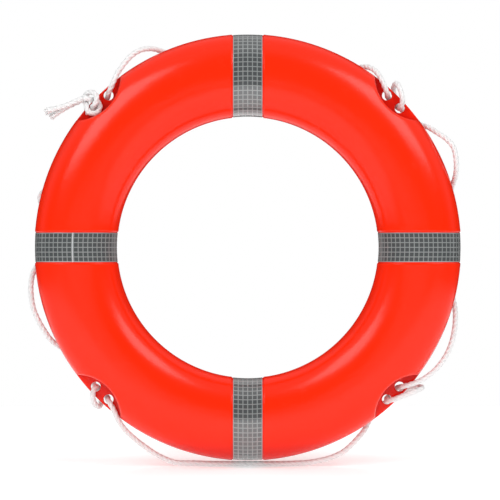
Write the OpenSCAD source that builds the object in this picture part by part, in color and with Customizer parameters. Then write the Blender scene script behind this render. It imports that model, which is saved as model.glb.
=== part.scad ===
// Ring lifebuoy: a foam-filled hard shell welded from two halves, four retroreflective tapes in shallow
// grooves, and one grab rope laced through four pockets and knotted at the upper left one.
// X is to the right, Y runs from the front to the back, and Z is up. The ring hangs upright from the origin,
// which is the top of its inner edge.

/* [Ring] */
// Outer diameter of the ring
ring_outer_d = 735; // [725:5:740]
// Diameter of the hole in the middle
ring_inner_d = 450; // [440:5:460]
// Depth of the ring from its front to its back
ring_depth = 110; // [100:1:116]
// Fullness of the tube's section, where 2 is an ellipse and more is squarer
section_power = 2.2; // [2:0.1:2.4]
// Thickness of the hard shell
shell_wall = 2.2; // [2:0.1:3]

/* [Rope pockets] */
// Diameter of the scoop that cuts each pocket
pocket_d = 140; // [132:2:148]
// How far a pocket bites in from the outer edge
pocket_bite = 30; // [29:1:33]
// Thickness of the web that is left in a pocket
web_t = 5; // [4:0.5:6]
// Diameter of a rope hole
hole_d = 17; // [15:1:18]
// Distance between the two holes of a web
hole_pitch = 31; // [29:1:34]
// Distance from a hole's centre to the outer edge
hole_edge = 12.5; // [11:0.5:14]

/* [Tapes] */
// Width of a retroreflective tape
tape_w = 50; // [46:1:52]
// Thickness of a tape
tape_t = 0.5; // [0.3:0.1:0.8]
// Depth of the groove that a tape lies in
groove_depth = 1.4; // [1:0.1:2]
// Width of the groove
groove_w = 54; // [54:1:60]

/* [Grab rope] */
// Diameter of the rope
rope_d = 9.5; // [8:0.5:10]

/* [Foam plugs] */
// Diameter of the plug in the filling hole
fill_plug_d = 24; // [16:1:26]
// Diameter of the plug in the vent hole
vent_plug_d = 12; // [8:1:14]

/* [Hidden] */

outer_r = ring_outer_d / 2;
inner_r = ring_inner_d / 2;
tube_mid_r = (outer_r + inner_r) / 2;
tube_half_w = (outer_r - inner_r) / 2;
tube_half_d = ring_depth / 2;
section_step = 7.5;
round_fn = 96;
overcut = 1;

// Sides that repeat round the ring, as angles from +X towards +Z
pocket_angles = [45, 135, 225, 315];
tape_angles = [90, 0, 270, 180];
pocket_r = pocket_d / 2;
pocket_centre_r = outer_r - pocket_bite + pocket_r;
hole_ring_r = outer_r - hole_edge;

foam_gap = 0.3;
tape_glue = 0.05;
tape_joint = 1.5;
tape_sweep = 20;

plug_angle = 67.5;
plug_head_t = 1;
plug_head_rim = 3;
plug_stem_l = 14;
plug_play = 0.1;
foam_hole_play = 1;

// The knot is a barrel of close turns, flat where it is drawn against the web
knot_centre = [137.3, 368, -16.5];
knot_back = 4;
knot_tilt = 25;
knot_turns = 4;
knot_turn_r = 11.5;
knot_turn_pitch = 10.5;

// The rope's route through the pockets, clockwise from the knot. Each point is an angle round the ring, a
// radius, and a depth behind the ring's middle plane, so a negative depth is in front.
rope_route = [
    // Upper left pocket, then over the top
    [137.5, 355, -4], [137.5, 355, 1], [136.8, 355, 11], [133.2, 355, 11], [132.5, 356.5, 0],
    [131.9, 358, -10], [130.2, 362, -15.5], [128.1, 369.5, -14], [126.4, 375, -10],
    [123.8, 381.5, -6], [121, 387, -2], [118.5, 387.5, 2], [116, 382.5, 9], [113.5, 371, 23],
    [109.5, 348, 50], [103, 322, 66], [95, 300, 68], [85, 292, 68], [75, 302, 68], [66, 328, 64],
    [61, 351, 51],
    // Upper right pocket
    [58.3, 367.5, 28], [56.3, 375, 9], [54.3, 375.5, -2], [52.3, 371.5, -9], [50.2, 365, -12],
    [48.4, 359, -10], [47.5, 356.5, 0], [46.8, 355, 11], [43.2, 355, 11], [42.5, 355, 0],
    [42.6, 358, -9], [43.4, 366, -13], [44.9, 373, -13], [46.3, 378.5, -10], [47.8, 382, 0],
    [47.7, 376, 12], [46.3, 367, 19], [43, 361, 27], [39, 360, 37], [35.8, 367, 29],
    [33.7, 375.5, 15], [31.3, 382.5, 6], [28.7, 390.5, 2], [26, 394.5, 0], [22.5, 389.5, 1],
    [19.5, 381.5, 6], [16.8, 371, 21], [12.5, 354, 47],
    // Lower right pocket
    [0, 345, 53], [350.5, 353, 48], [346.6, 366, 30], [343.3, 375, 12], [340, 381.5, 6],
    [336.5, 386.5, 1], [332.5, 389.5, -2], [329, 388, -5], [326, 384, -9], [322.3, 374.5, -14],
    [319.6, 364, -15.5], [318.1, 358, -10], [317.5, 356.5, 0], [316.8, 355, 11], [313.2, 355, 11],
    [312.5, 355, 0], [312.6, 357.5, -10.5], [314.1, 362.5, -16], [317.2, 372, -14],
    [319.4, 380, -11], [321.2, 385.5, -1], [320.6, 380, 12], [318, 370, 20], [313, 362, 30],
    [308.5, 361, 36], [305.3, 367.5, 28], [302.8, 375, 15], [300.5, 379.5, 7], [297.5, 385.5, 2],
    [294.5, 389.5, 0], [290.5, 389.5, 0], [286, 385.5, 0], [279.5, 378, 0], [270, 373, 0],
    [260.5, 378, 0], [255.5, 384, 0], [251.5, 391, 0], [247, 391, 0], [243, 387, -1],
    [239.5, 383, -5], [236, 378, -9],
    // Lower left pocket
    [233, 370.5, -13], [230.5, 362, -13], [228.3, 357, -9], [227.5, 356.5, 0], [226.8, 355, 11],
    [223.2, 355, 11], [222.5, 355, 0], [222.6, 358, -9], [223.4, 366, -13], [224.8, 374, -11],
    [226.4, 377.5, -2], [227, 375.5, 9], [226.4, 368, 17], [223.5, 361, 29], [219, 357, 41],
    [214, 357, 43], [210.5, 362, 37], [208, 369, 24], [205.4, 376, 12], [202.5, 379.5, 5],
    [199.5, 382.5, 2], [196, 384.5, 0], [191.5, 382, 3], [187.5, 376.5, 14], [184.2, 365, 32],
    [180, 352, 48], [174, 345, 54], [169.4, 356, 45], [167.2, 371, 30], [165.4, 371, 30],
    [163.2, 356, 45], [155, 348, 53], [148, 354, 47], [143.5, 362, 38], [140.7, 363, 25],
    [139, 370, 12], [138.2, 374.5, 1], [138, 376.5, -6],
];
rope_sides = 10;

// The two ends beyond the knot, each from the knot to its tip
rope_tail_long = [[138.3, 382.5, -19.2], [142.1, 395.8, -19.5], [145.6, 415.5, -19]];
rope_tail_short = [[138.4, 381.5, -9.4], [142.3, 394, -9.5], [145.9, 404.5, -9]];

// ---- Points and small helpers -------------------------------------------------------------------

// Turns an angle, a radius and a depth into a point of the upright ring.
function ring_point(p) = [p[1] * cos(p[0]), p[2], p[1] * sin(p[0]) - inner_r];

function unit(v) = v / norm(v);

// A point of the tube's section, drawn in the plane of the ring's axis.
function section_point(t, inset) = [
    tube_mid_r + sign(cos(t)) * (tube_half_w - inset) * pow(abs(cos(t)), 2 / section_power),
    sign(sin(t)) * (tube_half_d - inset) * pow(abs(sin(t)), 2 / section_power),
];

function section_arc(from, to, inset) = [
    for (t = [from : section_step : to]) section_point(t, inset),
];

// The side of the knot's barrel, one bulge for each turn of rope.
function knot_outline() = [
    for (turn = [0 : knot_turns - 1], a = [-70 : 20 : 70]) [
        knot_turn_r + rope_d / 2 * cos(a),
        (turn - (knot_turns - 1) / 2) * knot_turn_pitch + rope_d / 2 * sin(a),
    ],
];

// Stands a ring up that was made flat, front face up, about its own centre.
module stand() {
    translate([0, 0, -inner_r])
        rotate([90, 0, 0])
            children();
}

module at_angle(angle, radius) {
    rotate([0, 0, angle])
        translate([radius, 0, 0])
            children();
}

// ---- The ring's solids, made flat ---------------------------------------------------------------

// The front half of the plain ring. A skirt takes it a little past the middle plane, for cutting.
module half_ring(inset, skirt) {
    rotate_extrude($fn = round_fn)
        polygon(concat(
            section_arc(0, 180, inset),
            [
                [tube_mid_r - tube_half_w + inset, -skirt],
                [tube_mid_r + tube_half_w - inset, -skirt],
            ]
        ));
}

module full_ring(inset) {
    rotate_extrude($fn = round_fn)
        polygon(section_arc(0, 360 - section_step, inset));
}

// A band that lies round the tube between two insets, square across at one angle.
module tube_band(angle, width, outer_inset, inner_inset) {
    rotate([0, 0, angle])
        intersection() {
            rotate([0, 0, -tape_sweep / 2])
                rotate_extrude(angle = tape_sweep, $fn = round_fn)
                    difference() {
                        polygon(section_arc(0, 360 - section_step, outer_inset));
                        polygon(section_arc(0, 360 - section_step, inner_inset));
                    }
            translate([tube_mid_r, 0, 0])
                cube([ring_outer_d, width, ring_depth * 2], center = true);
        }
}

module tape_grooves(inset) {
    for (angle = tape_angles)
        tube_band(angle, groove_w + 2 * inset, inset - overcut, inset + groove_depth);
}

module pocket_scoops(inset, floor_z) {
    for (angle = pocket_angles)
        at_angle(angle, pocket_centre_r)
            translate([0, 0, floor_z])
                cylinder(r = pocket_r + inset, h = ring_depth, $fn = round_fn);
}

module rope_holes() {
    for (angle = pocket_angles, side = [-1, 1])
        at_angle(angle, hole_ring_r)
            translate([0, side * hole_pitch / 2, -web_t])
                cylinder(d = hole_d, h = 2 * web_t, $fn = round_fn);
}

// What fills the shell, at a distance inside its outer face.
module core_half(inset) {
    difference() {
        half_ring(inset, overcut);
        tape_grooves(inset);
        pocket_scoops(inset, -ring_depth / 2);
    }
}

module shell_half() {
    difference() {
        half_ring(0, 0);
        tape_grooves(0);
        pocket_scoops(0, web_t / 2);
        rope_holes();
        core_half(shell_wall);
    }
}

module plug_seat(angle, diameter, play) {
    at_angle(angle, tube_mid_r)
        translate([0, 0, -tube_half_d]) {
            translate([0, 0, -overcut])
                cylinder(d = diameter + 2 * plug_head_rim + 2 * play, h = plug_head_t + overcut);
            cylinder(d = diameter + 2 * play, h = plug_stem_l + play);
        }
}

module plug(angle, diameter) {
    at_angle(angle, tube_mid_r)
        translate([0, 0, -tube_half_d]) {
            cylinder(d = diameter + 2 * plug_head_rim, h = plug_head_t, $fn = round_fn);
            cylinder(d = diameter, h = plug_stem_l, $fn = round_fn);
        }
}

module tape(angle) {
    joint_side = angle == 180 ? 1 : -1;
    difference() {
        tube_band(angle, tape_w, groove_depth - tape_glue - tape_t, groove_depth - tape_glue);
        at_angle(angle, tube_mid_r)
            translate([0, 0, joint_side * tube_half_d])
                cube([tape_joint, ring_inner_d, tube_half_d], center = true);
    }
}

// ---- Rope ---------------------------------------------------------------------------------------

// A round tube along a list of points, with a ring of corners at each point.
module rope_tube(points, diameter, sides) {
    last = len(points) - 1;
    tangents = [
        for (i = [0 : last]) unit(points[min(i + 1, last)] - points[max(i - 1, 0)]),
    ];
    first_side = unit(cross(tangents[0], [0.2, 0.1, 1]));
    across = [
        for (
            i = 0, side = first_side;
            i <= last;
            i = i + 1,
            side = i > last ? side : unit(side - (side * tangents[i]) * tangents[i])
        ) side,
    ];
    corners = [
        for (i = [0 : last], k = [0 : sides - 1])
            let (
                a = 360 * k / sides,
                other = cross(tangents[i], across[i])
            )
            points[i] + diameter / 2 * (cos(a) * across[i] + sin(a) * other),
    ];
    walls = [
        for (i = [0 : last - 1], k = [0 : sides - 1])
            let (
                next = (k + 1) % sides,
                here = i * sides,
                there = (i + 1) * sides
            )
            each [[here + next, here + k, there + k], [here + next, there + k, there + next]],
    ];
    start_cap = [for (k = [0 : sides - 1]) k];
    end_cap = [for (k = [sides - 1 : -1 : 0]) last * sides + k];
    polyhedron(points = corners, faces = concat(walls, [start_cap, end_cap]));
}

module rope_along(route) {
    rope_tube([for (p = route) ring_point(p)], rope_d, rope_sides);
}

// ---- Nodes --------------------------------------------------------------------------------------

module shell_front() {
    color([1, 0.2, 0.04])
        stand()
            shell_half();
}

module shell_back() {
    color([1, 0.2, 0.04])
        stand()
            difference() {
                mirror([0, 0, 1])
                    shell_half();
                plug_seat(plug_angle, fill_plug_d, plug_play);
                plug_seat(180 - plug_angle, vent_plug_d, plug_play);
            }
}

module foam_core() {
    inset = shell_wall + foam_gap;
    color([0.93, 0.86, 0.66])
        stand()
            difference() {
                full_ring(inset);
                tape_grooves(inset);
                pocket_scoops(inset, -ring_depth / 2);
                plug_seat(plug_angle, fill_plug_d, foam_hole_play);
                plug_seat(180 - plug_angle, vent_plug_d, foam_hole_play);
            }
}

module tape_top() {
    color([0.62, 0.64, 0.64])
        stand()
            tape(90);
}

module tape_right() {
    color([0.62, 0.64, 0.64])
        stand()
            tape(0);
}

module tape_bottom() {
    color([0.62, 0.64, 0.64])
        stand()
            tape(270);
}

module tape_left() {
    color([0.62, 0.64, 0.64])
        stand()
            tape(180);
}

module foam_fill_plug() {
    color([0.9, 0.15, 0.03])
        stand()
            plug(plug_angle, fill_plug_d);
}

module foam_vent_plug() {
    color([0.9, 0.15, 0.03])
        stand()
            plug(180 - plug_angle, vent_plug_d);
}

module grab_rope() {
    color([0.95, 0.95, 0.95])
        rope_along(rope_route);
}

module rope_knot() {
    centre = ring_point(knot_centre);
    barrel_h = knot_turns * knot_turn_pitch;
    color([0.95, 0.95, 0.95])
        difference() {
            translate(centre)
                rotate([0, -knot_tilt, 0])
                    rotate_extrude($fn = round_fn)
                        polygon(concat([[0, -barrel_h / 2]], knot_outline(), [[0, barrel_h / 2]]));
            translate([centre[0] - barrel_h, -knot_back, centre[2] - barrel_h])
                cube(2 * barrel_h);
        }
}

module rope_end_long() {
    color([0.95, 0.95, 0.95])
        rope_along(rope_tail_long);
}

module rope_end_short() {
    color([0.95, 0.95, 0.95])
        rope_along(rope_tail_short);
}

shell_front();
shell_back();
foam_core();
tape_top();
tape_right();
tape_bottom();
tape_left();
foam_fill_plug();
foam_vent_plug();
grab_rope();
rope_knot();
rope_end_long();
rope_end_short();
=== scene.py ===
"""Ring lifebuoy, seen square from the front: a two-part hard shell with four rope pockets, four
retroreflective tapes in grooves, and one laid grab rope with its knot. Metres, in the CAD model's frame."""

import math

import bpy
import numpy as np
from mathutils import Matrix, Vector


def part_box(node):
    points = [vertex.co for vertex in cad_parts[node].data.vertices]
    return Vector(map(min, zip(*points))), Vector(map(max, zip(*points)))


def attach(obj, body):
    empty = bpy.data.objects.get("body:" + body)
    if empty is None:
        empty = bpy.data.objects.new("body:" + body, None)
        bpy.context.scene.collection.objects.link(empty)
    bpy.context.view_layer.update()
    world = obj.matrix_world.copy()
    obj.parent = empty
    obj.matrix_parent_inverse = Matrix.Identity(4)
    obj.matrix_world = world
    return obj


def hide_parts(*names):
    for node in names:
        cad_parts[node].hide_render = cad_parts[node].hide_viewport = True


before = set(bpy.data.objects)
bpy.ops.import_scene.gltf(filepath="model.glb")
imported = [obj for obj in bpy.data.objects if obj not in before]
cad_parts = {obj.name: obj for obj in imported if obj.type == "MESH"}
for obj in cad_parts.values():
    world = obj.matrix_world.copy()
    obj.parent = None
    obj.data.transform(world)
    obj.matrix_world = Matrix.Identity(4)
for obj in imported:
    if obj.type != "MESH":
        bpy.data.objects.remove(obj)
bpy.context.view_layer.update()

MM = 0.001

# ---- Sizes ------------------------------------------------------------------------------------------

# The ring: a tube with an oval section
shell_low, shell_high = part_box("shell_front")
CENTRE_Z = (shell_low.z + shell_high.z) / 2
HALF_DEPTH = -shell_low.y
GROOVE_DEPTH = 1.4 * MM
OUTER_R = 367.5 * MM
INNER_R = -CENTRE_Z
TUBE_MID_R = (OUTER_R + INNER_R) / 2
TUBE_HALF_W = (OUTER_R - INNER_R) / 2
SECTION_POWER = 2.2
SHELL_WALL = 2.2 * MM

# Rope pockets, the web in each and its pair of holes
POCKET_R = 70 * MM
POCKET_CENTRE_R = OUTER_R + 40 * MM
WEB_HALF = 2.5 * MM
LIP_R = 4.5 * MM
FLOOR_R = 2.5 * MM
HOLE_R = 8.5 * MM
HOLE_RING_R = 355 * MM
HOLE_PITCH = 31 * MM

# Tapes, the overlap of each with its own start, and the grooves they lie in
TAPE_T = 0.5 * MM
TAPE_GLUE = 0.05 * MM
TAPE_OVERLAP = 9 * MM
TAPE_EDGE_DROP = 0.06 * MM
GROOVE_HALF_W = 27 * MM

# The weld line between the two half shells
SEAM_BEVEL = 0.8 * MM
SEAM_DEPTH = 0.45 * MM
SEAM_GAP = 0.05 * MM

# The rope: each of its strands goes once round it in one lay
ROPE_D = 9.5 * MM
ROPE_LAY = 29 * MM
ROPE_STEP = 1.2 * MM
STRANDS = 3

# The two plugs in the back
PLUG_ANGLE = 67.5
FILL_PLUG_R = 12 * MM
VENT_PLUG_R = 6 * MM
PLUG_RIM = 3 * MM
PLUG_HEAD = 1 * MM
PLUG_STEM = 14 * MM

# The rope's route, clockwise from the knot: an angle round the ring, a radius and a depth behind the
# ring's middle plane. Angles in degrees, the rest in millimetres, as in the CAD model.
ROPE_ROUTE = [
    # Upper left pocket, then over the top
    (137.5, 355, -4), (137.5, 355, 1), (136.8, 355, 11), (133.2, 355, 11), (132.5, 356.5, 0),
    (131.9, 358, -10), (130.2, 362, -15.5), (128.1, 369.5, -14), (126.4, 375, -10),
    (123.8, 381.5, -6), (121, 387, -2), (118.5, 387.5, 2), (116, 382.5, 9), (113.5, 371, 23),
    (109.5, 348, 50), (103, 322, 66), (95, 300, 68), (85, 292, 68), (75, 302, 68), (66, 328, 64),
    (61, 351, 51),
    # Upper right pocket
    (58.3, 367.5, 28), (56.3, 375, 9), (54.3, 375.5, -2), (52.3, 371.5, -9), (50.2, 365, -12),
    (48.4, 359, -10), (47.5, 356.5, 0), (46.8, 355, 11), (43.2, 355, 11), (42.5, 355, 0),
    (42.6, 358, -9), (43.4, 366, -13), (44.9, 373, -13), (46.3, 378.5, -10), (47.8, 382, 0),
    (47.7, 376, 12), (46.3, 367, 19), (43, 361, 27), (39, 360, 37), (35.8, 367, 29),
    (33.7, 375.5, 15), (31.3, 382.5, 6), (28.7, 390.5, 2), (26, 394.5, 0), (22.5, 389.5, 1),
    (19.5, 381.5, 6), (16.8, 371, 21), (12.5, 354, 47),
    # Lower right pocket
    (0, 345, 53), (350.5, 353, 48), (346.6, 366, 30), (343.3, 375, 12), (340, 381.5, 6),
    (336.5, 386.5, 1), (332.5, 389.5, -2), (329, 388, -5), (326, 384, -9), (322.3, 374.5, -14),
    (319.6, 364, -15.5), (318.1, 358, -10), (317.5, 356.5, 0), (316.8, 355, 11), (313.2, 355, 11),
    (312.5, 355, 0), (312.6, 357.5, -10.5), (314.1, 362.5, -16), (317.2, 372, -14),
    (319.4, 380, -11), (321.2, 385.5, -1), (320.6, 380, 12), (318, 370, 20), (313, 362, 30),
    (308.5, 361, 36), (305.3, 367.5, 28), (302.8, 375, 15), (300.5, 379.5, 7), (297.5, 385.5, 2),
    (294.5, 389.5, 0), (290.5, 389.5, 0), (286, 385.5, 0), (279.5, 378, 0), (270, 373, 0),
    (260.5, 378, 0), (255.5, 384, 0), (251.5, 391, 0), (247, 391, 0), (243, 387, -1),
    (239.5, 383, -5), (236, 378, -9),
    # Lower left pocket
    (233, 370.5, -13), (230.5, 362, -13), (228.3, 357, -9), (227.5, 356.5, 0), (226.8, 355, 11),
    (223.2, 355, 11), (222.5, 355, 0), (222.6, 358, -9), (223.4, 366, -13), (224.8, 374, -11),
    (226.4, 377.5, -2), (227, 375.5, 9), (226.4, 368, 17), (223.5, 361, 29), (219, 357, 41),
    (214, 357, 43), (210.5, 362, 37), (208, 369, 24), (205.4, 376, 12), (202.5, 379.5, 5),
    (199.5, 382.5, 2), (196, 384.5, 0), (191.5, 382, 3), (187.5, 376.5, 14), (184.2, 365, 32),
    (180, 352, 48), (174, 345, 54), (169.4, 356, 45), (167.2, 371, 30), (165.4, 371, 30),
    (163.2, 356, 45), (155, 348, 53), (148, 354, 47), (143.5, 362, 38), (140.7, 363, 25),
    (139, 370, 12), (138.2, 374.5, 1), (138, 376.5, -6),
]
TAIL_LONG = [(138.3, 382.5, -19.2), (142.1, 395.8, -19.5), (145.6, 415.5, -19)]
TAIL_SHORT = [(138.4, 381.5, -9.4), (142.3, 394, -9.5), (145.9, 404.5, -9)]
KNOT_CENTRE = (137.3, 368, -16.5)

POCKET_ANGLES = (45, 135, 225, 315)

rng = np.random.default_rng(7)


def ring_point(place):
    """An angle in degrees, a radius and a depth in millimetres, as a point in the frame."""
    angle, radius, depth = place
    a = math.radians(angle)
    return np.array([radius * math.cos(a), depth, radius * math.sin(a)]) * MM + [0, 0, CENTRE_Z]


# ---- Camera -----------------------------------------------------------------------------------------

CAMERA_DISTANCE = 3.2
SENSOR_WIDTH = 36
VIEW_WIDTH = 0.8625
CAMERA_SHIFT = (3.9 * MM, -4.5 * MM)


def make_camera():
    """A long lens square to the ring, a little to the right of its middle and below it."""
    data = bpy.data.cameras.new("camera")
    data.sensor_width = SENSOR_WIDTH
    data.lens = data.sensor_width * CAMERA_DISTANCE / VIEW_WIDTH
    camera = bpy.data.objects.new("camera", data)
    camera.location = (CAMERA_SHIFT[0], -CAMERA_DISTANCE, CENTRE_Z + CAMERA_SHIFT[1])
    camera.rotation_euler = (math.radians(90), 0, 0)
    bpy.context.scene.collection.objects.link(camera)
    bpy.context.scene.camera = camera


# ---- Mesh helpers -----------------------------------------------------------------------------------


def mesh_object(name, points, faces, material, uv=None, sharp=40):
    """A mesh object that rides on the part's one body. uv has one pair for each corner of each face."""
    mesh = bpy.data.meshes.new(name)
    mesh.from_pydata([tuple(p) for p in points], [], faces)
    if uv is not None:
        layer = mesh.uv_layers.new(name="UVMap")
        layer.data.foreach_set("uv", np.asarray(uv, np.float32).ravel())
    mesh.materials.append(material)
    mesh.shade_smooth()
    mesh.set_sharp_from_angle(angle=math.radians(sharp))
    made = bpy.data.objects.new(name, mesh)
    bpy.context.scene.collection.objects.link(made)
    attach(made, "root")
    return made


def loop_faces(rows, columns):
    """Quads over a grid that closes on itself both ways."""
    return [
        (
            m * columns + k,
            (m + 1) % rows * columns + k,
            (m + 1) % rows * columns + (k + 1) % columns,
            m * columns + (k + 1) % columns,
        )
        for m in range(rows)
        for k in range(columns)
    ]


def lathe(profile, steps):
    """Points and faces of a closed solid turned round the Z axis, from its (radius, height) pairs."""
    points = [(0, 0, profile[0][1])]
    for r, z in profile:
        for k in range(steps):
            a = 2 * math.pi * k / steps
            points.append((r * math.cos(a), r * math.sin(a), z))
    points.append((0, 0, profile[-1][1]))
    last = len(points) - 1
    faces = []
    for k in range(steps):
        j = (k + 1) % steps
        faces.append((0, 1 + j, 1 + k))
        for row in range(len(profile) - 1):
            a, b = 1 + row * steps, 1 + (row + 1) * steps
            faces.append((a + k, a + j, b + j, b + k))
        faces.append((last, last - steps + k, last - steps + j))
    return np.array(points), faces


# ---- The shell --------------------------------------------------------------------------------------

# The power that turns a circle's sine or cosine into the section's rounded oval
OVAL_POWER = 2 / SECTION_POWER

# Columns of the shell's grid by a tape: millimetres from its middle, close together at the groove's edge
TAPE_COLUMNS = [0, 4, 8, 12, 16, 20, 23, 24.6, 25.3, 25.7, 26.1, 26.5, 26.9, 27.3, 27.8, 28.6, 30, 33]

# The columns then turn from parallel to radial, in this many steps, to this angle from the tape's middle
BLEND_STEPS = 14
BLEND_END = 30

# Half the angle that a pocket takes up, and the web's rounded outer edge: its heights and how far
# back each of them lies
POCKET_HALF_ANGLE = 8.5
EDGE_HEIGHTS = np.array([2.5, 2.2, 1.4, 0.8, 0.05]) * MM
EDGE_BACK = np.array([1.2, 0.35, 0, 0, 0]) * MM

# The groove's wall and the soft rim outside it
GROOVE_WALL_W = 1.4 * MM
RIM_H = 0.18 * MM
RIM_AWAY = 2.6 * MM
RIM_W = 1.5 * MM

# How far a rope hole opens out at its ends, and how many sides the holes and the plugs are turned with
HOLE_FLARE = 1.3 * MM
HOLE_STEPS = 48
PLUG_STEPS = 64


def tube_height(r, inset=0.0):
    """Half the tube's depth at a radius from the ring's axis."""
    across = np.clip(np.abs((r - TUBE_MID_R) / (TUBE_HALF_W - inset)), 0, 1)
    return (HALF_DEPTH - inset) * (1 - across**SECTION_POWER) ** (1 / SECTION_POWER)


def section_point(t, inset=0.0):
    """The tube's section at an angle t: 0 is the outer edge, a half turn is the inner edge."""
    c, s = np.cos(t), np.sin(t)
    r = TUBE_MID_R + np.sign(c) * (TUBE_HALF_W - inset) * np.abs(c) ** OVAL_POWER
    return r, np.sign(s) * (HALF_DEPTH - inset) * np.abs(s) ** OVAL_POWER


def section_angle(r, inset=0.0):
    """The section angle at a radius outside the tube's middle."""
    across = np.clip((r - TUBE_MID_R) / (TUBE_HALF_W - inset), 0, 1)
    return math.acos(across ** (1 / OVAL_POWER))


def section_normal(r, z):
    """The outward direction of the tube's surface at radii and heights, as radius and height parts."""
    across, up = (r - TUBE_MID_R) / TUBE_HALF_W, z / HALF_DEPTH
    n = np.stack([
        np.sign(across) * np.abs(across) ** (SECTION_POWER - 1) / TUBE_HALF_W,
        np.sign(up) * np.abs(up) ** (SECTION_POWER - 1) / HALF_DEPTH,
    ])
    return n / np.linalg.norm(n, axis=0)


def groove(t):
    """How far the tape groove sinks the surface at a distance from its middle, less its soft rim."""
    t = np.abs(t)
    step = np.clip((GROOVE_HALF_W - t) / GROOVE_WALL_W + 0.5, 0, 1)
    rim = RIM_H * np.exp(-(((t - GROOVE_HALF_W - RIM_AWAY) / RIM_W) ** 2))
    return GROOVE_DEPTH * step * step * (3 - 2 * step) - rim


def wall_radius(angle, inwards):
    """Where a line at this angle from a pocket's middle meets the pocket's wall, moved in by a distance."""
    a = math.radians(angle)
    reach = (POCKET_R - inwards) ** 2 - (POCKET_CENTRE_R * math.sin(a)) ** 2
    if reach <= 0:
        return 2 * OUTER_R
    return POCKET_CENTRE_R * math.cos(a) - math.sqrt(reach)


def outer_tube(last_angle):
    """Section angles from the inner edge over the outside, closer together where they start."""
    ease = np.array([0, 0.004, 0.0095, 0.02, 0.045])
    return np.concatenate([math.pi - ease, np.linspace(math.pi - 0.09, last_angle, 52)])


def section_loop(from_pocket):
    """One closed section of the front half at an angle from the nearest pocket: radii and heights, from the
    inner edge over the outside to the outer edge, then back along the middle plane and the inside."""
    wall = wall_radius(from_pocket, 0)
    in_pocket = wall < OUTER_R - 0.1 * MM and tube_height(wall) > WEB_HALF + 0.05 * MM
    turn = np.radians(np.linspace(0, 90, 7))
    if in_pocket:
        k = (tube_height(wall) - WEB_HALF) / (LIP_R + FLOOR_R)
        k = min(1.0, k, (OUTER_R - wall) / (2 * LIP_R))
        lip, floor = LIP_R * k, FLOOR_R * k
        r_tube, z_tube = section_point(outer_tube(section_angle(wall_radius(from_pocket, -lip))))
        r_lip = np.array([wall_radius(from_pocket, -lip * (1 - math.sin(a))) for a in turn[1:]])
        z_lip = tube_height(r_lip) - lip * (1 - np.cos(turn[1:]))
        z_wall = np.linspace(z_lip[-1], WEB_HALF + floor, 5)[1:-1]
        r_wall = np.full(3, wall)
        r_floor = np.array([wall_radius(from_pocket, floor * (1 - math.cos(a))) for a in turn])
        z_floor = WEB_HALF + floor * (1 - np.sin(turn))
        r_edge = OUTER_R - EDGE_BACK
        r_floor = np.minimum(r_floor, r_edge[0] - 0.05 * MM)
        r_web = np.linspace(r_floor[-1], r_edge[0], 9)[1:-1]
        z_web = np.full(7, WEB_HALF)
        inside_r = min(wall_radius(from_pocket, -SHELL_WALL), OUTER_R - SHELL_WALL)
    else:
        r_tube, z_tube = section_point(outer_tube(section_angle(OUTER_R - 0.25 * MM)))
        z_rest = np.linspace(z_tube[-1], EDGE_HEIGHTS[0], 25)[1:-1]
        share = 1 - (z_rest / HALF_DEPTH) ** SECTION_POWER
        r_rest = TUBE_MID_R + TUBE_HALF_W * share ** (1 / SECTION_POWER)
        r_lip, r_wall, r_floor, r_web = np.split(r_rest, [6, 9, 16])
        z_lip, z_wall, z_floor, z_web = np.split(z_rest, [6, 9, 16])
        r_edge = np.full(5, OUTER_R)
        inside_r = OUTER_R - SHELL_WALL
    r_out = np.concatenate([r_tube, r_lip, r_wall, r_floor, r_web, r_edge])
    z_out = np.concatenate([z_tube, z_lip, z_wall, z_floor, z_web, EDGE_HEIGHTS])
    r_back = np.linspace(OUTER_R - SEAM_DEPTH, inside_r, 5)[1:]
    r_in, z_in = section_point(
        np.linspace(section_angle(inside_r, SHELL_WALL), math.pi, 26), SHELL_WALL
    )
    return (
        np.concatenate([r_out, r_back, r_in]),
        np.concatenate([z_out, np.zeros(4), z_in]),
        len(r_out),
    )


def column_angles():
    """The columns of an eighth of the ring, from a tape's middle to a pocket's. Each has the way its angle
    follows from the radius, and its angle from the pocket's middle for the section."""
    columns = []
    for t in TAPE_COLUMNS:
        columns.append((lambda r, t=t: np.arcsin(t * MM / r), 45.0))
    last = TAPE_COLUMNS[-1] * MM
    for step in range(1, BLEND_STEPS + 1):
        w = step / BLEND_STEPS
        columns.append((
            lambda r, w=w: np.arcsin(last / r) * (1 - w) + w * math.radians(BLEND_END),
            45.0,
        ))
    start = 45 - POCKET_HALF_ANGLE
    angles = np.concatenate([
        np.linspace(BLEND_END, start - 0.6, 10)[1:],
        np.linspace(start - 0.5, start + 0.7, 13),
        np.linspace(start + 0.7, 45, 32)[1:],
    ])
    for a in angles:
        columns.append((lambda r, a=a: np.full_like(r, math.radians(a)), 45.0 - a))
    return columns


def half_shell_grid():
    """Points of the front half, a closed section for each column round the ring."""
    eighth = column_angles()
    plan = []
    for quarter in range(4):
        plan += [(quarter * 90, 1, column) for column in eighth]
        plan += [(quarter * 90 + 90, -1, column) for column in eighth[-2:0:-1]]
    points = []
    for base, side, (angle_of, from_pocket) in plan:
        r, z, outer_count = section_loop(from_pocket)
        angle = angle_of(r)
        sunk = groove(r * np.sin(angle))
        normal = section_normal(r, z)
        r, z = r - normal[0] * sunk, z - normal[1] * sunk
        bevel = SEAM_DEPTH * np.clip(1 - z / SEAM_BEVEL, 0, 1)
        bevel[outer_count:] = 0
        r = r - np.sign(r - TUBE_MID_R) * bevel
        z = np.maximum(z, SEAM_GAP)
        turn = math.radians(base) + side * angle
        points.append(np.stack([r * np.cos(turn), -z, r * np.sin(turn) + CENTRE_Z], axis=1))
    grid = np.array(points)
    return grid.reshape(-1, 3), grid.shape[0], grid.shape[1]


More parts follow.
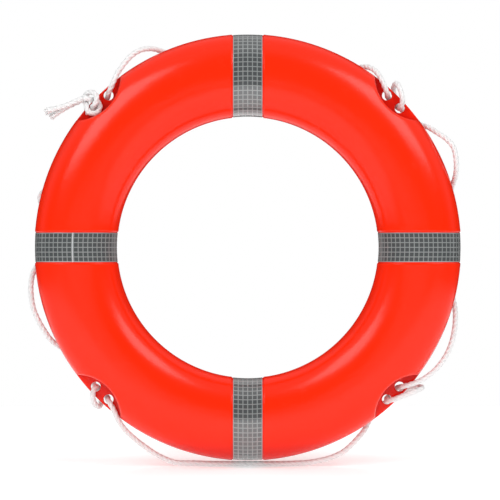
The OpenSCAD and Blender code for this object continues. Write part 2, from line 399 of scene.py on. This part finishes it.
def at_ring(points, angle, radius, side=0.0):
    """Moves a shape made round the Z axis to an angle and radius of the ring, its Z axis to the back."""
    a = math.radians(angle)
    outward = np.array([math.cos(a), 0, math.sin(a)])
    along = np.array([math.sin(a), 0, -math.cos(a)])
    back = np.array([0, 1, 0])
    middle = outward * radius + along * side + [0, 0, CENTRE_Z]
    return middle + points[:, :1] * outward + points[:, 1:2] * along + points[:, 2:3] * back


def hole_cutter():
    """A rope hole with softly flared mouths."""
    turn = np.radians(np.linspace(90, 0, 7))
    top = [
        (HOLE_R + HOLE_FLARE * (1 - math.cos(a)), WEB_HALF - HOLE_FLARE * (1 - math.sin(a)))
        for a in turn
    ]
    profile = [(r, -z) for r, z in top] + [(r, z) for r, z in reversed(top)]
    ends = HOLE_R + HOLE_FLARE * 1.02
    return lathe([(ends, -3 * WEB_HALF)] + profile + [(ends, 3 * WEB_HALF)], HOLE_STEPS)


def plug_cutter(radius):
    """The seat of a plug: its stem's hole and a recess for its head, with a little play."""
    play = 0.1 * MM
    head = radius + PLUG_RIM + play
    bottom, top = HALF_DEPTH - PLUG_STEM, HALF_DEPTH
    return lathe(
        [
            (radius + play, bottom),
            (radius + play, top - PLUG_HEAD),
            (head, top - PLUG_HEAD),
            (head, top + PLUG_HEAD),
        ],
        PLUG_STEPS,
    )


def cut(target, cutters, name):
    """Cuts closed shapes, given as points and faces, out of a piece."""
    points, faces, count = [], [], 0
    for shape, shape_faces in cutters:
        points.append(shape)
        faces += [tuple(i + count for i in face) for face in shape_faces]
        count += len(shape)
    mesh = bpy.data.meshes.new(name)
    mesh.from_pydata([tuple(p) for p in np.concatenate(points)], [], faces)
    cutter = bpy.data.objects.new(name, mesh)
    bpy.context.scene.collection.objects.link(cutter)
    modifier = target.modifiers.new(name, "BOOLEAN")
    modifier.operation = "DIFFERENCE"
    modifier.solver = "EXACT"
    modifier.object = cutter
    depsgraph = bpy.context.evaluated_depsgraph_get()
    made = bpy.data.meshes.new_from_object(target.evaluated_get(depsgraph))
    target.modifiers.clear()
    target.data = made
    made.shade_smooth()
    made.set_sharp_from_angle(angle=math.radians(40))
    bpy.data.objects.remove(cutter)


def make_shells(material):
    """Both halves of the shell, the back one a mirror of the front, with rope holes and plug seats cut."""
    points, rows, columns = half_shell_grid()
    faces = loop_faces(rows, columns)
    front = mesh_object("front_shell", points, [f[::-1] for f in faces], material)
    back = mesh_object("back_shell", points * [1, -1, 1], faces, material)
    shape, shape_faces = hole_cutter()
    holes = [
        (at_ring(shape, angle, HOLE_RING_R, side * HOLE_PITCH / 2), shape_faces)
        for angle in POCKET_ANGLES
        for side in (-1, 1)
    ]
    seats = []
    for angle, radius in ((PLUG_ANGLE, FILL_PLUG_R), (180 - PLUG_ANGLE, VENT_PLUG_R)):
        seat, seat_faces = plug_cutter(radius)
        seats.append((at_ring(seat, angle, TUBE_MID_R), seat_faces))
    cut(front, holes, "hole_cutters")
    cut(back, holes + seats, "back_cutters")
    for shell, node in ((front, "shell_front"), (back, "shell_back")):
        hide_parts(node)


def make_plugs(material):
    """The two plugs in the back shell: a stem and a flat head with a dished middle and soft edges."""
    for name, node, angle, radius in (
        ("fill_plug", "foam_fill_plug", PLUG_ANGLE, FILL_PLUG_R),
        ("vent_plug", "foam_vent_plug", 180 - PLUG_ANGLE, VENT_PLUG_R),
    ):
        head, top = radius + PLUG_RIM, HALF_DEPTH
        soft = 0.35 * MM
        dish = 0.3 * MM
        profile = [
            (radius - soft, top - PLUG_STEM),
            (radius, top - PLUG_STEM + soft),
            (radius, top - PLUG_HEAD),
            (head, top - PLUG_HEAD),
            (head, top - soft),
            (head - 0.3 * soft, top - 0.3 * soft),
            (head - soft, top),
            (head - 4 * soft, top),
            (head - 5 * soft, top - dish),
            (0.12 * head, top - dish),
            (0.08 * head, top - 2 * dish),
        ]
        points, faces = lathe(profile, PLUG_STEPS)
        plug = mesh_object(name, at_ring(points, angle, TUBE_MID_R), faces, material, sharp=30)
        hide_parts(node)


# ---- Tapes ------------------------------------------------------------------------------------------

# Places across a strip, from edge to edge, and the last of its length, where it climbs onto its start
TAPE_ACROSS = np.array([-25, -24.8, -22, -17, -11, -5.5, 0, 5.5, 11, 17, 22, 24.8, 25]) * MM
LAP_RISE = 4 * MM
LAP_GAP = 0.02 * MM

# The film's square cells, and the width of the pale line at each end of a strip, in millimetres
CELL_PITCH = 8.1
END_LINE_W = 2.2


def tape_line(start):
    """The strip's line round the section from a start angle, with its lap: radii, heights, distances."""
    inset = GROOVE_DEPTH - TAPE_GLUE - TAPE_T
    r, z = section_point(start - np.linspace(0, 2 * math.pi, 241), inset)
    along = np.concatenate([[0], np.cumsum(np.hypot(np.diff(r), np.diff(z)))])
    lap = along <= TAPE_OVERLAP
    r = np.concatenate([r, r[lap][1:]])
    z = np.concatenate([z, z[lap][1:]])
    return r, z, np.concatenate([along, along[-1] + along[lap][1:]])


def make_tape(name, node, angle, start, material):
    """One strip wrapped round the tube, its last stretch lapped over its start."""
    r, z, distance = tape_line(start)
    lap_start = distance[-1] - TAPE_OVERLAP
    normal = section_normal(r, z)
    lift = TAPE_T * np.clip((distance - lap_start + LAP_RISE) / LAP_RISE, 0, 1)
    top = np.stack([r + normal[0] * lift, z + normal[1] * lift], axis=1)
    bottom = top - (TAPE_T - LAP_GAP) * normal.T
    turn = math.radians(angle)
    rows = []
    for layer, edge in ((top, TAPE_EDGE_DROP), (bottom, 0.0)):
        for k, across in enumerate(TAPE_ACROSS):
            at_edge = k in (0, len(TAPE_ACROSS) - 1)
            shape = layer - edge * normal.T if at_edge else layer
            a = turn + np.arcsin(across / shape[:, 0])
            rows.append(np.stack([
                shape[:, 0] * np.cos(a), -shape[:, 1], shape[:, 0] * np.sin(a) + CENTRE_Z,
            ], axis=1))
    count = len(distance)
    wide = len(TAPE_ACROSS)
    points = np.concatenate(rows)
    order = list(range(wide)) + list(range(2 * wide - 1, wide - 1, -1))
    faces, uv = [], []
    across_of = np.concatenate([TAPE_ACROSS, TAPE_ACROSS])
    for j in range(len(order)):
        a, b = order[j], order[(j + 1) % len(order)]
        for i in range(count - 1):
            faces.append((a * count + i, a * count + i + 1, b * count + i + 1, b * count + i))
            uv += [
                (across_of[a], distance[i]), (across_of[a], distance[i + 1]),
                (across_of[b], distance[i + 1]), (across_of[b], distance[i]),
            ]
    for i, flip in ((0, 1), (count - 1, -1)):
        ring = [j * count + i for j in order][::flip]
        faces.append(tuple(ring))
        uv += [(across_of[j // count], distance[i]) for j in ring]
    tape = mesh_object(name, points, faces, material, np.array(uv) / MM, sharp=50)
    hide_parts(node)


def make_tapes():
    """Four strips. Three have their lap at the back, the left one has it on its face."""
    length_mm = tape_line(0.0)[2][-1] / MM
    look = tape_material(length_mm)
    for name, node, angle, start in (
        ("top_tape", "tape_top", 90, -90),
        ("right_tape", "tape_right", 0, -90),
        ("bottom_tape", "tape_bottom", 270, -90),
        ("left_tape", "tape_left", 180, 93.6),
    ):
        make_tape(name, node, angle, math.radians(start), look)


# ---- Rope -------------------------------------------------------------------------------------------

# Loose yarns at a cut end and their sides, yarn lines round the rope, and the relief of its end caps, which
# sets their painted groove shade
YARN_COUNT = 60
YARN_SIDES = 6
YARN_LINES = 36
CAP_RELIEF = 0.6


def smooth_line(points, step):
    """A smooth line through the points, evenly spaced: a centripetal Catmull-Rom spline."""
    p = np.vstack([2 * points[0] - points[1], points, 2 * points[-1] - points[-2]])
    fine = []
    for i in range(1, len(p) - 2):
        p0, p1, p2, p3 = p[i - 1 : i + 3]
        t1 = np.linalg.norm(p1 - p0) ** 0.5
        t2 = t1 + np.linalg.norm(p2 - p1) ** 0.5
        t3 = t2 + np.linalg.norm(p3 - p2) ** 0.5
        t = np.linspace(t1, t2, 24, endpoint=False)[:, None]
        a1 = ((t1 - t) * p0 + t * p1) / t1
        a2 = ((t2 - t) * p1 + (t - t1) * p2) / (t2 - t1)
        a3 = ((t3 - t) * p2 + (t - t2) * p3) / (t3 - t2)
        b1 = ((t2 - t) * a1 + t * a2) / t2
        b2 = ((t3 - t) * a2 + (t - t1) * a3) / (t3 - t1)
        fine.append(((t2 - t) * b1 + (t - t1) * b2) / (t2 - t1))
    fine = np.vstack(fine + [points[-1:]])
    along = np.concatenate([[0], np.cumsum(np.linalg.norm(np.diff(fine, axis=0), axis=1))])
    at = np.linspace(0, along[-1], int(along[-1] / step) + 1)
    return np.stack([np.interp(at, along, fine[:, k]) for k in range(3)], axis=1)


def line_frames(line):
    """Two directions across a line at each point, carried along without twist."""
    tangent = np.gradient(line, axis=0)
    tangent /= np.linalg.norm(tangent, axis=1)[:, None]
    side = np.cross(tangent[0], [0.2, 0.3, 1])
    sides = []
    for t in tangent:
        side = side - (side @ t) * t
        side = side / np.linalg.norm(side)
        sides.append(side)
    sides = np.array(sides)
    return tangent, sides, np.cross(tangent, sides)


def strand_profile(sides):
    """A laid rope's section as shares of its radius, three strands round, and how far each point is out
    of the grooves between them."""
    from_crest = ((np.arange(sides) * STRANDS / sides) % 1 - 0.5) * 2 * math.pi / STRANDS
    offset, strand = 0.30, 0.70
    radius = offset * np.cos(from_crest) + np.sqrt(strand**2 - (offset * np.sin(from_crest)) ** 2)
    lowest = radius.min()
    return radius, (radius - lowest) / (1 - lowest)


def rope_mesh(name, line, material, sides=30, swell=None):
    """A three-strand laid rope along a line, with closed ends. swell widens it along its length."""
    tangent, side, other = line_frames(line)
    step = np.linalg.norm(np.diff(line, axis=0), axis=1)
    distance = np.concatenate([[0], np.cumsum(step)])
    profile, relief = strand_profile(sides)
    radius = ROPE_D / 2 * profile[None, :] * np.ones((len(line), 1))
    if swell is not None:
        radius = radius * swell(distance / distance[-1])[:, None]
    angle = 2 * math.pi * (np.arange(sides)[None, :] / sides + distance[:, None] / ROPE_LAY)
    points = (
        line[:, None]
        + (radius * np.cos(angle))[:, :, None] * side[:, None]
        + (radius * np.sin(angle))[:, :, None] * other[:, None]
    )
    count = len(line)
    faces, uv = [], []
    for i in range(count - 1):
        for k in range(sides):
            j = (k + 1) % sides
            faces.append((i * sides + k, i * sides + j, (i + 1) * sides + j, (i + 1) * sides + k))
            uv += [
                (k / sides, distance[i]), ((k + 1) / sides, distance[i]),
                ((k + 1) / sides, distance[i + 1]), (k / sides, distance[i + 1]),
            ]
    all_points = np.concatenate([points.reshape(-1, 3), line[:1], line[-1:]])
    first, last = count * sides, count * sides + 1
    for k in range(sides):
        j = (k + 1) % sides
        faces.append((first, j, k))
        faces.append((last, (count - 1) * sides + k, (count - 1) * sides + j))
        uv += [(0.5, 0), ((k + 1) / sides, 0), (k / sides, 0)]
        uv += [(0.5, distance[-1]), (k / sides, distance[-1]), ((k + 1) / sides, distance[-1])]
    rope = mesh_object(name, all_points, faces, material, uv, sharp=180)
    set_relief(rope, np.concatenate([np.tile(relief, count), [CAP_RELIEF, CAP_RELIEF]]))
    return rope


def set_relief(rope, values):
    """Stores how far each point is out of the rope's grooves, which its material uses for painted shade in
    them.
    """
    layer = rope.data.attributes.new("relief", "FLOAT", "POINT")
    layer.data.foreach_set("value", np.asarray(values, np.float32))


# The knot's line is a trefoil: where it starts and ends, its turn in the ring's plane, its radius and
# that of its lobes, how much wider and taller it is drawn, and its shift from the CAD's knot
KNOT_START, KNOT_END, KNOT_STEPS = 0.36, 2 * math.pi - 0.5, 190
KNOT_TURN = math.radians(200)
KNOT_R, LOBE_R = 12.0 * MM, 5.9 * MM
KNOT_WIDEN, KNOT_HEIGHTEN = 1.05, 1.12
KNOT_SHIFT = np.array([-0.4, 0, -3.0]) * MM


def knot_line():
    """An overhand knot drawn up flat against the web: three lobes, its last end leaving to the left."""
    centre = ring_point(KNOT_CENTRE) + KNOT_SHIFT
    t = np.linspace(KNOT_START, KNOT_END, KNOT_STEPS)
    turn = 2 * t + KNOT_TURN
    reach = KNOT_R + LOBE_R * np.cos(3 * t)
    x = reach * np.cos(turn) * KNOT_WIDEN
    z = reach * np.sin(turn) * KNOT_HEIGHTEN
    y = LOBE_R * np.sin(3 * t)
    return centre + np.stack([x, y, z], axis=1)


def fray(line, material, name):
    """Loose six-sided yarns that splay from a cut rope end."""
    tangent, side, other = line_frames(line)
    tip, forward, s, o = line[-1], tangent[-1], side[-1], other[-1]
    points, faces = [], []
    for yarn in range(YARN_COUNT):
        a = rng.uniform(0, 2 * math.pi)
        start = 0.9 * ROPE_D / 2 * math.sqrt(rng.uniform(0, 1))
        out = s * math.cos(a) + o * math.sin(a)
        length = rng.uniform(4, 8) * MM
        lean = start / (ROPE_D / 2) * rng.uniform(0.3, 1.1)
        droop = np.array([0, 0, -1.5 * MM])
        base = tip + out * start - forward * 3 * MM
        knee = base + forward * length * 0.7 + out * length * lean * 0.35
        end = knee + forward * length * 0.5 + out * length * lean * 0.45 + droop * rng.uniform(0, 1)
        for at, r in ((base, 0.6), (knee, 0.55), (end, 0.3)):
            for k in range(YARN_SIDES):
                b = 2 * math.pi * k / YARN_SIDES
                points.append(at + (s * math.cos(b) + o * math.sin(b)) * r * MM)
        first = yarn * 3 * YARN_SIDES
        for shift in (first, first + YARN_SIDES):
            for k in range(YARN_SIDES):
                j = (k + 1) % YARN_SIDES
                faces.append((
                    shift + k, shift + j,
                    shift + YARN_SIDES + j, shift + YARN_SIDES + k,
                ))
        faces.append(tuple(first + k for k in range(YARN_SIDES - 1, -1, -1)))
        faces.append(tuple(first + 2 * YARN_SIDES + k for k in range(YARN_SIDES)))
    yarns = mesh_object(name, points, faces, material, sharp=180)
    set_relief(yarns, np.full(len(points), 0.9))
    return yarns


def tip_swell(share):
    """A loosened tip: the last fifth of a rope end grows by 12 percent."""
    return 1 + 0.12 * np.clip(share * 5 - 4, 0, 1)


def make_rope(material):
    """The rope, its knot and its two frayed ends."""
    line = smooth_line(np.array([ring_point(p) for p in ROPE_ROUTE]), ROPE_STEP)
    rope = rope_mesh("rope", line, material)
    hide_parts("grab_rope")
    knot = rope_mesh("knot", knot_line(), material)
    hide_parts("rope_knot")
    pieces = [knot]
    for name, node, tail in (
        ("long_end", "rope_end_long", TAIL_LONG),
        ("short_end", "rope_end_short", TAIL_SHORT),
    ):
        points = np.array([ring_point(p) for p in tail])
        inner = points[0] + (points[0] - points[1]) * 0.35
        tail_line = smooth_line(np.vstack([inner, points]), ROPE_STEP)
        end = rope_mesh(name, tail_line, material, swell=tip_swell)
        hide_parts(node)
        pieces += [end, fray(tail_line, material, name + "_yarns")]


# ---- Materials --------------------------------------------------------------------------------------

SHELL_COLOUR = (0.93, 0.0195, 0.0004)
PLUG_COLOUR = (0.80, 0.018, 0.0008)


class Nodes:
    """A small helper that makes and joins shader nodes."""

    def __init__(self, name):
        self.material = bpy.data.materials.new(name)
        self.material.use_nodes = True
        self.tree = self.material.node_tree
        self.shader = next(n for n in self.tree.nodes if n.type == "BSDF_PRINCIPLED")

    def add(self, kind, **values):
        node = self.tree.nodes.new(kind)
        for key, value in values.items():
            if hasattr(node, key):
                setattr(node, key, value)
            else:
                node.inputs[key.replace("_", " ")].default_value = value
        return node

    def link(self, source, target):
        self.tree.links.new(source, target)

    def math(self, operation, a, b=0.0):
        node = self.tree.nodes.new("ShaderNodeMath")
        node.operation = operation
        for socket, value in zip(node.inputs, (a, b)):
            if isinstance(value, bpy.types.NodeSocket):
                self.link(value, socket)
            else:
                socket.default_value = value
        return node.outputs[0]

    def noise(self, vector, scale, detail=4.0, roughness=0.5):
        node = self.tree.nodes.new("ShaderNodeTexNoise")
        node.inputs["Scale"].default_value = scale
        node.inputs["Detail"].default_value = detail
        node.inputs["Roughness"].default_value = roughness
        self.link(vector, node.inputs["Vector"])
        return node.outputs["Fac"]

    def ramp(self, factor, stops):
        """A ramp between two stops, each a position and a value."""
        node = self.tree.nodes.new("ShaderNodeValToRGB")
        for element, (at, value) in zip(node.color_ramp.elements, stops):
            element.position = at
            element.color = (value, value, value, 1)
        self.link(factor, node.inputs["Fac"])
        return node.outputs["Color"]

    def mix(self, factor, a, b):
        node = self.tree.nodes.new("ShaderNodeMix")
        node.data_type = "RGBA"
        for socket, value in zip((node.inputs[0], node.inputs[6], node.inputs[7]), (factor, a, b)):
            if isinstance(value, bpy.types.NodeSocket):
                self.link(value, socket)
            elif isinstance(value, tuple):
                socket.default_value = (*value, 1)
            else:
                socket.default_value = value
        return node.outputs[2]

    def bump(self, height, distance):
        node = self.tree.nodes.new("ShaderNodeBump")
        node.inputs["Strength"].default_value = 1.0
        node.inputs["Distance"].default_value = distance
        self.link(height, node.inputs["Height"])
        self.link(node.outputs["Normal"], self.shader.inputs["Normal"])

    def object_place(self):
        return self.tree.nodes.new("ShaderNodeTexCoord").outputs["Object"]


def shell_material(name, colour):
    """Moulded plastic: cloudy colour, faint pale scuffs, and painted shade that makes it deeper and duller
    in the hollows.
    """
    n = Nodes(name)
    place = n.object_place()
    cloud = n.noise(place, 6, 3)
    fine = n.noise(place, 420, 2)
    scuff = n.noise(place, 38, 6, 0.7)
    darker = tuple(c * 0.93 for c in colour)
    base = n.mix(cloud, darker, colour)
    worn = n.ramp(scuff, [(0.60, 0.0), (0.74, 1.0)])
    pale = (colour[0], colour[1] + 0.010, colour[2] + 0.005)
    base = n.mix(n.math("MULTIPLY", worn, 0.35), base, pale)
    # Painted shade: ambient occlusion darkens the colour to a deeper red in the pockets, holes and other
    # hollows.
    hollow = n.add("ShaderNodeAmbientOcclusion", Distance=0.06, samples=8)
    out_of_hollow_shade = n.ramp(hollow.outputs["AO"], [(0.35, 0.0), (0.95, 1.0)])
    hollow_shade_colour = (colour[0] * 0.72, colour[1] * 0.3, 0)
    n.link(n.mix(out_of_hollow_shade, hollow_shade_colour, base), n.shader.inputs["Base Color"])
    rough = n.math("ADD", n.math("MULTIPLY", cloud, 0.07), 0.18)
    rough = n.math("ADD", rough, n.math("MULTIPLY", worn, 0.07))
    n.link(rough, n.shader.inputs["Roughness"])
    n.shader.inputs["Specular IOR Level"].default_value = 0.28
    n.bump(n.math("ADD", n.math("MULTIPLY", fine, 0.5), n.noise(place, 90, 2)), 0.00012)
    return n.material


def tape_material(length_mm):
    """Prismatic film: dark cells between pale sealing lines, under a clear glossy face, with a painted
    reflection that lightens it on the tube's flanks.
    """
    n = Nodes("reflective_tape")
    uv = n.tree.nodes.new("ShaderNodeUVMap").outputs["UV"]
    split = n.tree.nodes.new("ShaderNodeSeparateXYZ")
    n.link(uv, split.inputs[0])
    across, along = split.outputs[0], split.outputs[1]

    def near_line(value, offset):
        cell = n.math("DIVIDE", n.math("ADD", value, offset), CELL_PITCH)
        away = n.math("ABSOLUTE", n.math("SUBTRACT", n.math("FRACT", cell), 0.5))
        return n.ramp(away, [(0.37, 0.0), (0.45, 1.0)])

    lines = n.math("MAXIMUM", near_line(across, 4 * CELL_PITCH), near_line(along, 0.0))
    first_end = n.math("LESS_THAN", along, END_LINE_W)
    last_end = n.math("GREATER_THAN", along, length_mm - END_LINE_W)
    ends = n.math("MAXIMUM", first_end, last_end)
    place = n.object_place()
    prisms = n.noise(place, 1400, 2)
    patch = n.noise(place, 60, 3)
    cell_colour = n.mix(prisms, (0.055, 0.061, 0.063), (0.078, 0.085, 0.087))
    line_colour = n.mix(patch, (0.22, 0.235, 0.232), (0.29, 0.305, 0.302))
    flank_reflection_colour, end_colour = (0.34, 0.35, 0.35), (0.80, 0.81, 0.83)
    colour = n.mix(lines, cell_colour, line_colour)
    # Painted reflection: where the film's face turns away from the front, onto the tube's flanks, its
    # colour is blended towards a lighter, milky grey.
    facing = n.tree.nodes.new("ShaderNodeSeparateXYZ")
    n.link(n.add("ShaderNodeNewGeometry").outputs["Normal"], facing.inputs[0])
    flank_reflection_share = n.ramp(n.math("ABSOLUTE", facing.outputs[1]), [(0.25, 0.75), (0.60, 0.0)])
    colour = n.mix(flank_reflection_share, colour, flank_reflection_colour)
    colour = n.mix(ends, colour, end_colour)
    n.link(colour, n.shader.inputs["Base Color"])
    n.link(n.math("ADD", n.math("MULTIPLY", lines, 0.10), 0.22), n.shader.inputs["Roughness"])
    n.shader.inputs["Specular IOR Level"].default_value = 0.5
    n.shader.inputs["Coat Weight"].default_value = 1.0
    n.shader.inputs["Coat IOR"].default_value = 1.8
    n.shader.inputs["Coat Roughness"].default_value = 0.07
    height = n.math("ADD", n.math("MULTIPLY", lines, -1.0), n.math("MULTIPLY", prisms, 0.2))
    n.bump(height, 0.00005)
    return n.material


def rope_material():
    """White polypropylene: yarn lines along the rope, and painted shade in the grooves between its strands.
    """
    n = Nodes("rope_yarn")
    uv = n.tree.nodes.new("ShaderNodeUVMap").outputs["UV"]
    split = n.tree.nodes.new("ShaderNodeSeparateXYZ")
    n.link(uv, split.inputs[0])
    turn = n.math("ADD", split.outputs[0], n.math("DIVIDE", split.outputs[1], ROPE_LAY))
    yarn = n.math("SINE", n.math("MULTIPLY", turn, 2 * math.pi * YARN_LINES))
    relief = n.add("ShaderNodeAttribute", attribute_name="relief").outputs["Fac"]
    place = n.object_place()
    fuzz = n.noise(place, 900, 3)
    grime = n.mix(n.noise(place, 25, 4), (0.79, 0.79, 0.788), (0.85, 0.85, 0.85))
    # Painted shade: the colour darkens towards the grooves between the strands as the relief attribute
    # falls.
    groove_shade_colour = (0.74, 0.735, 0.732)
    out_of_groove_shade = n.ramp(relief, [(0.0, 0.0), (0.5, 1.0)])
    n.link(n.mix(out_of_groove_shade, groove_shade_colour, grime), n.shader.inputs["Base Color"])
    n.shader.inputs["Roughness"].default_value = 0.5
    n.shader.inputs["Sheen Weight"].default_value = 0.2
    height = n.math("ADD", n.math("MULTIPLY", yarn, 0.5), n.math("MULTIPLY", fuzz, 0.8))
    n.bump(height, 0.00012)
    return n.material


def foam_material():
    """Yellowish closed-cell foam."""
    n = Nodes("foam")
    place = n.object_place()
    cells = n.tree.nodes.new("ShaderNodeTexVoronoi")
    cells.inputs["Scale"].default_value = 700
    n.link(place, cells.inputs["Vector"])
    colour = n.mix(n.noise(place, 12, 4), (0.80, 0.66, 0.36), (0.92, 0.82, 0.55))
    n.link(colour, n.shader.inputs["Base Color"])
    n.shader.inputs["Roughness"].default_value = 0.9
    n.bump(cells.outputs["Distance"], 0.0006)
    return n.material


# ---- Stage ------------------------------------------------------------------------------------------

# The floor, just under the rope's lowest loop
FLOOR_Z = CENTRE_Z - 378 * MM
FLOOR_HALF_W = 1.8
FLOOR_FRONT = -2.1
FLOOR_BACK = 1.2

# The studio round the ring: its brightness above and low down, how fast it dims to the front and back,
# how soft the change is, and the least there is for diffuse light
SKY_BRIGHT, SKY_DIM, SKY_FALL, SKY_SOFT, SKY_EVEN = 0.65, 0.03, 1.1, 0.40, 0.36


def make_floor():
    """A sheet of white paper under the ring and its rope."""
    n = Nodes("paper_floor")
    place = n.object_place()
    colour = n.mix(n.noise(place, 3, 3), (0.90, 0.90, 0.90), (0.92, 0.92, 0.92))
    n.link(colour, n.shader.inputs["Base Color"])
    n.shader.inputs["Emission Color"].default_value = (1, 1, 1, 1)
    n.shader.inputs["Emission Strength"].default_value = 0.30
    n.shader.inputs["Roughness"].default_value = 0.8
    n.shader.inputs["Specular IOR Level"].default_value = 0.2
    corners = [
        (-FLOOR_HALF_W, FLOOR_FRONT, FLOOR_Z),
        (FLOOR_HALF_W, FLOOR_FRONT, FLOOR_Z),
        (FLOOR_HALF_W, FLOOR_BACK, FLOOR_Z),
        (-FLOOR_HALF_W, FLOOR_BACK, FLOOR_Z),
    ]
    mesh = bpy.data.meshes.new("floor")
    mesh.from_pydata(corners, [], [(0, 1, 2, 3)])
    mesh.materials.append(n.material)
    floor = bpy.data.objects.new("floor", mesh)
    bpy.context.scene.collection.objects.link(floor)


def soft_light(name, place, size, power, in_gloss=True):
    """A rectangular softbox that faces the ring's centre. in_gloss=False keeps it out of the highlights."""
    data = bpy.data.lights.new(name, "AREA")
    data.shape = "RECTANGLE"
    data.size, data.size_y = size
    data.energy = power
    light = bpy.data.objects.new(name, data)
    light.location = (place[0], place[1], place[2] + CENTRE_Z)
    aim = Vector((0, 0, CENTRE_Z)) - light.location
    light.rotation_euler = aim.to_track_quat("-Z", "Y").to_euler()
    light.visible_glossy = in_gloss
    bpy.context.scene.collection.objects.link(light)


def make_world():
    """A studio that is bright above and dim low down before and behind the ring, as the gloss sees it.
    Diffuse light has at least an even level all round, and the background is white."""
    world = bpy.data.worlds.new("studio")
    bpy.context.scene.world = world
    world.use_nodes = True
    tree = world.node_tree

    def add(kind, operation=None):
        node = tree.nodes.new(kind)
        if operation:
            node.operation = operation
        return node

    background = next(n for n in tree.nodes if n.type == "BACKGROUND")
    split = add("ShaderNodeSeparateXYZ")
    tree.links.new(add("ShaderNodeTexCoord").outputs["Generated"], split.inputs[0])
    ahead = add("ShaderNodeMath", "ABSOLUTE")
    tree.links.new(split.outputs[1], ahead.inputs[0])
    tilt = add("ShaderNodeMath", "MULTIPLY_ADD")
    tilt.inputs[1].default_value = -SKY_FALL
    tree.links.new(ahead.outputs[0], tilt.inputs[0])
    tree.links.new(split.outputs[2], tilt.inputs[2])
    spread = add("ShaderNodeMapRange")
    spread.interpolation_type = "SMOOTHSTEP"
    spread.inputs["From Min"].default_value = -SKY_SOFT
    spread.inputs["From Max"].default_value = SKY_SOFT
    spread.inputs["To Min"].default_value = SKY_DIM
    spread.inputs["To Max"].default_value = SKY_BRIGHT
    tree.links.new(tilt.outputs[0], spread.inputs["Value"])
    ray = add("ShaderNodeLightPath")
    soft = add("ShaderNodeMath", "MULTIPLY")
    soft.inputs[1].default_value = SKY_EVEN
    tree.links.new(ray.outputs["Is Diffuse Ray"], soft.inputs[0])
    at_least = add("ShaderNodeMath", "MAXIMUM")
    tree.links.new(spread.outputs["Result"], at_least.inputs[0])
    tree.links.new(soft.outputs[0], at_least.inputs[1])
    strength = add("ShaderNodeMath", "MAXIMUM")
    tree.links.new(at_least.outputs[0], strength.inputs[0])
    tree.links.new(ray.outputs["Is Camera Ray"], strength.inputs[1])
    tree.links.new(strength.outputs[0], background.inputs["Strength"])
    background.inputs["Color"].default_value = (1, 1, 1, 1)


def make_stage():
    """Floor, studio and lights: two softboxes up at the sides, and two fills that make no highlights."""
    make_floor()
    make_world()
    soft_light("left_key", (-1.35, -1.65, 1.35), (1.1, 1.3), 21)
    soft_light("right_key", (1.45, -1.35, 1.45), (1.1, 1.3), 21)
    soft_light("front_fill", (0.0, -3.0, -0.1), (2.4, 0.5), 17, in_gloss=False)
    soft_light("back_fill", (0.0, 2.4, 2.0), (2.4, 2.0), 26, in_gloss=False)
    scene = bpy.context.scene
    scene.view_settings.view_transform = "Standard"
    scene.view_settings.look = "None"
    scene.view_settings.exposure = 0.0


# ---- Build ------------------------------------------------------------------------------------------

make_camera()
make_rope(rope_material())
make_shells(shell_material("shell_plastic", SHELL_COLOUR))
make_plugs(shell_material("plug_plastic", PLUG_COLOUR))
make_tapes()
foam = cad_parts["foam_core"]
foam.data.materials.clear()
foam.data.materials.append(foam_material())
make_stage()
